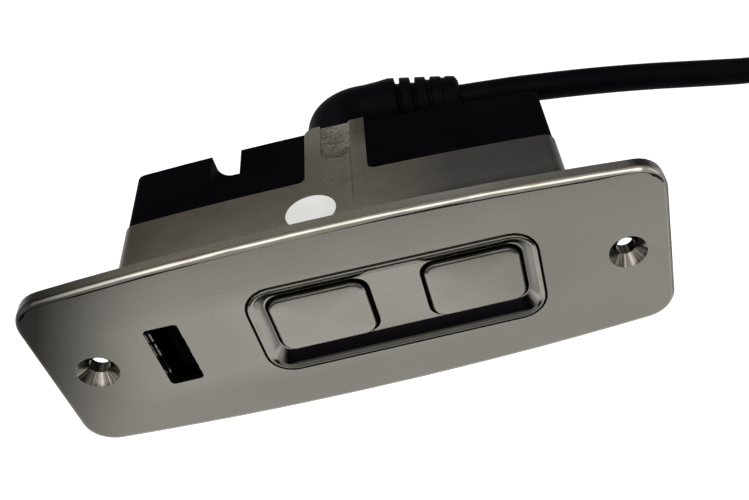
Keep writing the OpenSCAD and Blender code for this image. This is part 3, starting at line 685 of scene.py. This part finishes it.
def paint(obj, mat):
    obj.data.materials.clear()
    obj.data.materials.append(mat)


for node, key in NODE_MAT.items():
    paint(NODES[node], MAT[key])
paint(lead, MAT["soft"])
paint(tie, MAT["black"])


# ---------------------------------------------------------------- finer copies of CAD nodes
# Lengths and heights of the plate, tray, openings and caps are half sizes, in mm.
PLATE_L, PLATE_H, PLATE_BOW, PLATE_R = 55.0, 17.0, 2.6, 5.5
# The long edge is an arc of radius ARC_R about Z = ARC_Z; it meets the corner's arc
# about CORNER_X, CORNER_Z
ARC_R = (PLATE_L ** 2 + PLATE_BOW ** 2) / (2 * PLATE_BOW)
ARC_Z = PLATE_H + PLATE_BOW - ARC_R
CORNER_X = PLATE_L - PLATE_R
CORNER_Z = ARC_Z + math.sqrt((ARC_R - PLATE_R) ** 2 - CORNER_X ** 2)
FACE_Y, CAD_ROUND, ROUND = -3.0, 0.8, 1.05
TOP_ONLY_Z = 0.6  # the new rounding is whole where the edge looks up by this much


def plate_inset(x, z):
    """How far a point lies inside the plate's outline, in mm, and the way out."""
    ax, az = abs(x), abs(z)
    if az <= CORNER_Z:
        inset, out = PLATE_L - ax, Vector((1, 0, 0))
    elif math.atan2(ax, az - ARC_Z) > math.atan2(CORNER_X, CORNER_Z - ARC_Z):
        out = Vector((ax - CORNER_X, 0, az - CORNER_Z))
        inset = PLATE_R - out.length
    else:
        out = Vector((ax, 0, az - ARC_Z))
        inset = ARC_R - out.length
    out.normalize()
    return inset, Vector((math.copysign(out.x, x), 0, math.copysign(out.z, z)))


# Middle of each opening, and how far its left and its right side are moved out
OPENINGS = ((-7.7, 0.0, 0.45), (19.9, 0.5, 0.0))
OPENING_L, OPENING_H, OPENING_R = 8.9, 6.5, 2.65
OPENING_FROM_Y, OPENING_TO_Y, OPENING_NEAR = -1.25, 0.6, 0.04


def shape_casting(bm):
    """Takes the plate's front rounding from CAD_ROUND to ROUND at its top edge, and
    widens the two openings towards the bridge between them."""
    for v in bm.verts:
        x, y, z = v.co / MM
        inset, out = plate_inset(x, z)
        if y < FACE_Y + CAD_ROUND + 0.01 and inset < CAD_ROUND + 0.05:
            grow = (ROUND / CAD_ROUND - 1) * min(1.0, max(0.0, out.z / TOP_ONLY_Z))
            v.co += (Vector((0, (y - FACE_Y) * grow, 0)) - out * inset * grow) * MM
        if not OPENING_FROM_Y < y < OPENING_TO_Y:
            continue
        for cx, left, right in OPENINGS:
            qx = max(abs(x - cx) - (OPENING_L - OPENING_R), 0.0)
            qz = max(abs(z) - (OPENING_H - OPENING_R), 0.0)
            if abs(math.hypot(qx, qz) - OPENING_R) < OPENING_NEAR:
                v.co.x += (right if x > cx else -left) * MM


def weigh_normals(obj):
    obj.modifiers.new("normals", "WEIGHTED_NORMAL").keep_sharp = True


SAME_POINT, SAME_PLANE, BEVEL_STEPS = 0.002 * MM, math.radians(0.6), 3


def refined(node, name, bevel, angle=28.0, mats=(), region=None, reshape=None):
    """A copy of a CAD node with its flat faces joined, its edges eased and smooth shading.
    region picks one of mats for a face by its middle, in mm, and its normal."""
    src = NODES[node]
    mesh = src.data.copy()
    mesh.name = name
    bm = bmesh.new()
    bm.from_mesh(mesh)
    bmesh.ops.remove_doubles(bm, verts=bm.verts, dist=SAME_POINT)
    if reshape:
        reshape(bm)
    bm.normal_update()
    if region:
        for f in bm.faces:
            f.material_index = region(f.calc_center_median() / MM, f.normal)
    bmesh.ops.dissolve_limit(bm, angle_limit=SAME_PLANE, verts=bm.verts, edges=bm.edges,
                             delimit={"MATERIAL"})
    if mats:
        mesh.materials.clear()
        for key in mats:
            mesh.materials.append(MAT[key])
    bm.to_mesh(mesh)
    bm.free()
    obj = link(name, mesh)
    for p in mesh.polygons:
        p.use_smooth = True
    mod = obj.modifiers.new("eased", "BEVEL")
    mod.limit_method = "ANGLE"
    mod.angle_limit = math.radians(angle)
    mod.width = bevel * MM
    mod.segments = BEVEL_STEPS
    mod.harden_normals = False
    mod.use_clamp_overlap = True
    weigh_normals(obj)
    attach(obj, src["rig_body"])
    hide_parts(node)
    return obj


# The casting's materials by region; several of them carry painted light and shade.
FACE_MATS = ("nickel", "polish", "painted_shade", "cast", "pocket", "sink", "wall", "rim")
SATIN, POLISH, PAINTED_SHADE, CAST, POCKET, SINK, WALL, RIM = range(len(FACE_MATS))
# Limits of a normal's Y: a flat front face, the two ends of the plate's rounding, a face
# that looks forward or backward, and one that runs across
FLAT_FRONT, ROUND_FRONT, ROUND_SIDE = -0.985, -0.995, -0.05
FORWARD, BACKWARD, ACROSS = -0.5, 0.5, 0.3
SEAT_Y, NEAR, FACING_RIGHT = -0.01, 0.02, 0.5
HOLE_X, BORE_R, SINK_R = 47.0, 1.95, 3.6
TRAY_X, TRAY_L, TRAY_H, TRAY_R = 6.1, 24.2, 8.7, 3.6
RIM_W, GROOVE_W, FLOOR_Y = 0.95, 0.45, -1.15
TRAY_FIELD = RIM_W + GROOVE_W + 0.05
WINDOW_X, WINDOW_L, WINDOW_H = -33.8, 3.0, 6.8
TAB_X, POCKET_L, POCKET_FROM_Y = -0.4, 2.8, 19.0
BOX_TOP, POCKET_DEEP = 15.70, 0.6


def casting_region(c, n):
    """Which material a face of the casting has: its finish, with painted light and shade on
    the tray, the openings, the socket window and the countersinks.
    """
    hole = math.hypot(abs(c.x) - HOLE_X, c.z)
    # The bore takes the countersink's streaks and their painted shade.
    if hole < BORE_R and abs(n.y) < ACROSS:
        return SINK
    if c.y > SEAT_Y:
        in_pocket = (abs(c.x - TAB_X) < POCKET_L and c.y > POCKET_FROM_Y
                     and BOX_TOP - POCKET_DEEP < c.z < BOX_TOP - NEAR)
        return POCKET if in_pocket else CAST
    if n.y > BACKWARD:
        return CAST
    if plate_inset(c.x, c.z)[0] < ROUND and ROUND_FRONT < n.y < ROUND_SIDE:
        return POLISH
    out = math.hypot(max(abs(c.x - TRAY_X) - (TRAY_L - TRAY_R), 0),
                     max(abs(c.z) - (TRAY_H - TRAY_R), 0)) - TRAY_R
    # Painted shade in the groove and inside the openings; painted light and shade on the rim and
    # the tray's walls.
    if out < TRAY_FIELD:
        if out > RIM_W - NEAR and c.y > FACE_Y + NEAR:
            return PAINTED_SHADE
        if out > 0.0:
            return RIM if out < RIM_W + NEAR / 2 else SATIN
        if n.y > FLAT_FRONT and c.y < FLOOR_Y:
            return WALL
        return PAINTED_SHADE if n.y > FORWARD else SATIN
    if hole < SINK_R and n.y > FLAT_FRONT:
        return SINK
    # Painted shade on the socket window's walls, all but the one that looks right.
    if abs(c.x - WINDOW_X) < WINDOW_L and abs(c.z) < WINDOW_H and n.y > FLAT_FRONT:
        return POLISH if n.x > FACING_RIGHT else PAINTED_SHADE
    return SATIN


BOOT_TILT = math.radians(5)
BOOT_OUT = Vector((math.cos(BOOT_TILT), 0, -math.sin(BOOT_TILT)))
BOOT_BEND_END = Vector((-2.0, 46.2, 10.0)) + 7.0 * BOOT_OUT
# Places along the arm in the CAD, and where the copy has them
BOOT_STEPS = ((0.0, 0.0), (5.2, 6.5), (16.05, 16.9), (19.35, 19.35))
BOOT_BEND_SHRINK, BOOT_REAR_Y, BOOT_REAR_FADE = 0.045, 35.0, 3.0


def shape_boot(bm):
    """Moves the ring grooves along the arm, and draws the bend in a little."""
    for v in bm.verts:
        at = v.co / MM
        along = (at - BOOT_BEND_END).dot(BOOT_OUT)
        if at.y <= BOOT_REAR_Y:
            continue
        if along > 0.01:
            for (a, to_a), (b, to_b) in zip(BOOT_STEPS, BOOT_STEPS[1:]):
                if a <= along < b:
                    v.co += BOOT_OUT * (to_a + (along - a) * (to_b - to_a) / (b - a) - along) * MM
                    break
        else:
            fade = min(1.0, (at.y - BOOT_REAR_Y) / BOOT_REAR_FADE)
            v.co -= BOOT_OUT * along * BOOT_BEND_SHRINK * fade * MM


refined("bezel", "face_casting", 0.1, mats=FACE_MATS, region=casting_region,
        reshape=shape_casting)
refined("back_cover", "rear_cover", 0.2)
refined("strain_relief", "lead_boot", 0.25, 24.0, reshape=shape_boot)

CAP_MATS = ("nickel", "cap_edge", "painted_shade")
CAP_FACE, CAP_TOP_EDGE, CAP_SIDE = range(len(CAP_MATS))
CAP_L, CAP_H, CAP_R = 8.45, 6.15, 2.3
CAP_EDGE, CAP_EDGE_STEPS, CAP_CROWN = 0.6, 8, 0.12
CAP_CROWN_AT = (0.2, 0.45, 0.7, 0.88, 1.0)
CAP_SHIFT, CAP_SHIFT_TO_Y = {"left_button": 0.1, "right_button": -0.2}, 0.15
CAP_SKIRT = 0.08
FLANGE_L, FLANGE_H, FLANGE_R = 10.1, 7.4, 3.4
FLANGE_ROWS = ((0.1, 0.15), (0.15, 0.04), (0.25, 0.0), (1.15, 0.0), (1.25, 0.04), (1.3, 0.15))
SIDE_TO_Y, SKIRT_Y = 0.02, 0.1
STEM_R, STEM_SIDES, STEM_FROM_Y = 2.5, 32, 1.0
# Each ring of the stem's rounded end: how far before the end, and how far drawn in
STEM_END = ((0.25, 0.0), (0.07, 0.07), (0.0, 0.25))
TOP_FACING_Z = 0.25


def make_cap(node, name):
    """A crowned push cap with rounded edges, its flange and its stem, in one mesh."""
    lo, hi = (Vector(v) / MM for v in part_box(node))
    cx = (lo.x + hi.x) / 2
    front, back = lo.y, hi.y
    side_y = front + CAP_CROWN + CAP_EDGE
    bm = bmesh.new()

    def ring(y, half_l, half_h, r):
        mid = cx + (CAP_SHIFT[node] if y < CAP_SHIFT_TO_Y else 0.0)
        return [bm.verts.new(Vector((mid + x, y, z)) * MM)
                for x, z in ring_points(half_l, half_h, r)]

    rows = []
    for t in CAP_CROWN_AT:
        rows.append(ring(front + CAP_CROWN * t * t, (CAP_L - CAP_EDGE) * t, (CAP_H - CAP_EDGE) * t,
                         (CAP_R - CAP_EDGE) * t))
    for i in range(1, CAP_EDGE_STEPS + 1):
        a = math.radians(90 * i / CAP_EDGE_STEPS)
        inward = CAP_EDGE * (1 - math.sin(a))
        y = front + CAP_CROWN + CAP_EDGE * (1 - math.cos(a))
        rows.append(ring(y, CAP_L - inward, CAP_H - inward, CAP_R - inward))
    rows.append(ring(SIDE_TO_Y, CAP_L, CAP_H, CAP_R))
    rows.append(ring(SKIRT_Y, CAP_L + CAP_SKIRT, CAP_H + CAP_SKIRT, CAP_R + CAP_SKIRT))
    for y, inward in FLANGE_ROWS:
        rows.append(ring(y, FLANGE_L - inward, FLANGE_H - inward, FLANGE_R - inward))
    bridge(bm, rows)
    first = rows[0]
    tip = bm.verts.new(Vector((cx + CAP_SHIFT[node], front, 0)) * MM)
    for i in range(len(first)):
        bm.faces.new((tip, first[(i + 1) % len(first)], first[i]))
    bm.faces.new(list(reversed(rows[-1])))
    stem = []
    ends = [(back - short, STEM_R - inward) for short, inward in STEM_END]
    for y, r in [(STEM_FROM_Y, STEM_R)] + ends:
        stem.append([bm.verts.new(Vector((cx + r * math.cos(a), y, r * math.sin(a))) * MM)
                     for a in (2 * math.pi * i / STEM_SIDES for i in range(STEM_SIDES))])
    bridge(bm, stem)
    bm.faces.new(stem[0])
    bm.faces.new(list(reversed(stem[-1])))
    bmesh.ops.recalc_face_normals(bm, faces=bm.faces)
    mesh = mesh_from(bm, name)
    for key in CAP_MATS:
        mesh.materials.append(MAT[key])
    # Painted shade: each cap's top edge is darker and its sides near black.
    for p in mesh.polygons:
        y = p.center.y / MM
        if y < front + CAP_CROWN + 0.01:
            p.material_index = CAP_FACE
        elif y < side_y:
            p.material_index = CAP_TOP_EDGE if p.normal.z > TOP_FACING_Z else CAP_FACE
        else:
            p.material_index = CAP_SIDE
    obj = link(name, mesh)
    weigh_normals(obj)
    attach(obj, NODES[node]["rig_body"])
    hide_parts(node)


make_cap("left_button", "left_cap")
make_cap("right_button", "right_cap")

# ---------------------------------------------------------------- light and background
ORIGIN = (0.0, 0.0, 0.0)
WHITE = (1.0, 1.0, 1.0, 1.0)
WORLD_GREY = (0.4, 0.4, 0.4, 1.0)
FLOOR_GREY = (0.8, 0.8, 0.8, 1.0)
FLOOR_Z, FLOOR_HALF, FLOOR_GLOW = -0.30, 6, 0.62
# Name, place, size in metres, power in watts; all look at the origin
LAMPS = (
    ("softbox", (-0.05, -0.33, 0.57), (0.95, 0.56), 5.6),
    ("fill_left", (-0.8, -0.3, 0.25), (0.5, 0.5), 0.9),
    ("fill_right", (0.8, -0.2, 0.3), (0.5, 0.5), 0.9),
)
# Name, place, what it looks at, size, tone
CARDS = (
    ("card_back_left", (-0.5, 0.8, 0.62), ORIGIN, (1.1, 1.1), (0.33, 0.315, 0.285)),
    ("card_back_right", (0.6, 0.8, 0.62), ORIGIN, (1.1, 1.1), (0.3, 0.29, 0.27)),
    ("card_front", (0.0, -0.6, -0.165), (0.0, 0.04, 0.605), (1.8, 0.39), (0.02, 0.018, 0.016)),
)


def area(name, at, size, power):
    data = bpy.data.lights.new(name, "AREA")
    data.shape = "RECTANGLE"
    data.size, data.size_y = size
    data.energy = power
    link(name, data).matrix_world = aimed(at, ORIGIN)


def emission(nt, colour):
    glow = nt.nodes.new("ShaderNodeEmission")
    glow.inputs["Color"].default_value = colour
    return glow


def card(name, at, aim, size, tone):
    """A toned card that only reflections see."""
    obj = sheet(name, size[0] / 2, size[1] / 2)
    obj.matrix_world = aimed(at, aim)
    mat = bpy.data.materials.new(name)
    mat.use_nodes = True
    nt = mat.node_tree
    nt.nodes.remove(nt.nodes["Principled BSDF"])
    glow = emission(nt, (*tone, 1.0))
    nt.links.new(glow.outputs[0], nt.nodes["Material Output"].inputs["Surface"])
    obj.data.materials.append(mat)
    obj.visible_camera = False
    obj.visible_diffuse = False
    obj.visible_shadow = False
    obj.visible_transmission = False


def seen_rays(nt):
    """1 for camera, glossy and transmission rays, and 0 for the others."""
    path = nt.nodes.new("ShaderNodeLightPath")
    seen = path.outputs["Is Camera Ray"]
    for kind in ("Is Glossy Ray", "Is Transmission Ray"):
        either = nt.nodes.new("ShaderNodeMath")
        either.operation = "MAXIMUM"
        nt.links.new(seen, either.inputs[0])
        nt.links.new(path.outputs[kind], either.inputs[1])
        seen = either.outputs[0]
    return seen


def make_world():
    """Grey as a light, white where it is seen."""
    world = bpy.data.worlds.new("World")
    scene.world = world
    world.use_nodes = True
    nt = world.node_tree
    grey = nt.nodes["Background"]
    grey.inputs["Color"].default_value = WORLD_GREY
    white = nt.nodes.new("ShaderNodeBackground")
    white.inputs["Color"].default_value = WHITE
    mix = nt.nodes.new("ShaderNodeMixShader")
    nt.links.new(seen_rays(nt), mix.inputs["Fac"])
    nt.links.new(grey.outputs[0], mix.inputs[1])
    nt.links.new(white.outputs[0], mix.inputs[2])
    nt.links.new(mix.outputs[0], nt.nodes["World Output"].inputs["Surface"])


def make_floor():
    """A pale floor that glows to white where it is seen, and keeps its shadow."""
    obj = sheet("floor", FLOOR_HALF, FLOOR_HALF, FLOOR_Z)
    mat = bpy.data.materials.new("floor_white")
    mat.use_nodes = True
    nt = mat.node_tree
    bsdf = nt.nodes["Principled BSDF"]
    bsdf.inputs["Base Color"].default_value = FLOOR_GREY
    bsdf.inputs["Roughness"].default_value = 0.9
    bsdf.inputs["Specular IOR Level"].default_value = 0.0
    glow = emission(nt, WHITE)
    power = nt.nodes.new("ShaderNodeMath")
    power.operation = "MULTIPLY"
    power.inputs[1].default_value = FLOOR_GLOW
    add = nt.nodes.new("ShaderNodeAddShader")
    nt.links.new(seen_rays(nt), power.inputs[0])
    nt.links.new(power.outputs[0], glow.inputs["Strength"])
    nt.links.new(bsdf.outputs[0], add.inputs[0])
    nt.links.new(glow.outputs[0], add.inputs[1])
    nt.links.new(add.outputs[0], nt.nodes["Material Output"].inputs["Surface"])
    obj.data.materials.append(mat)


for lamp in LAMPS:
    area(*lamp)
for row in CARDS:
    card(*row)
make_world()
make_floor()
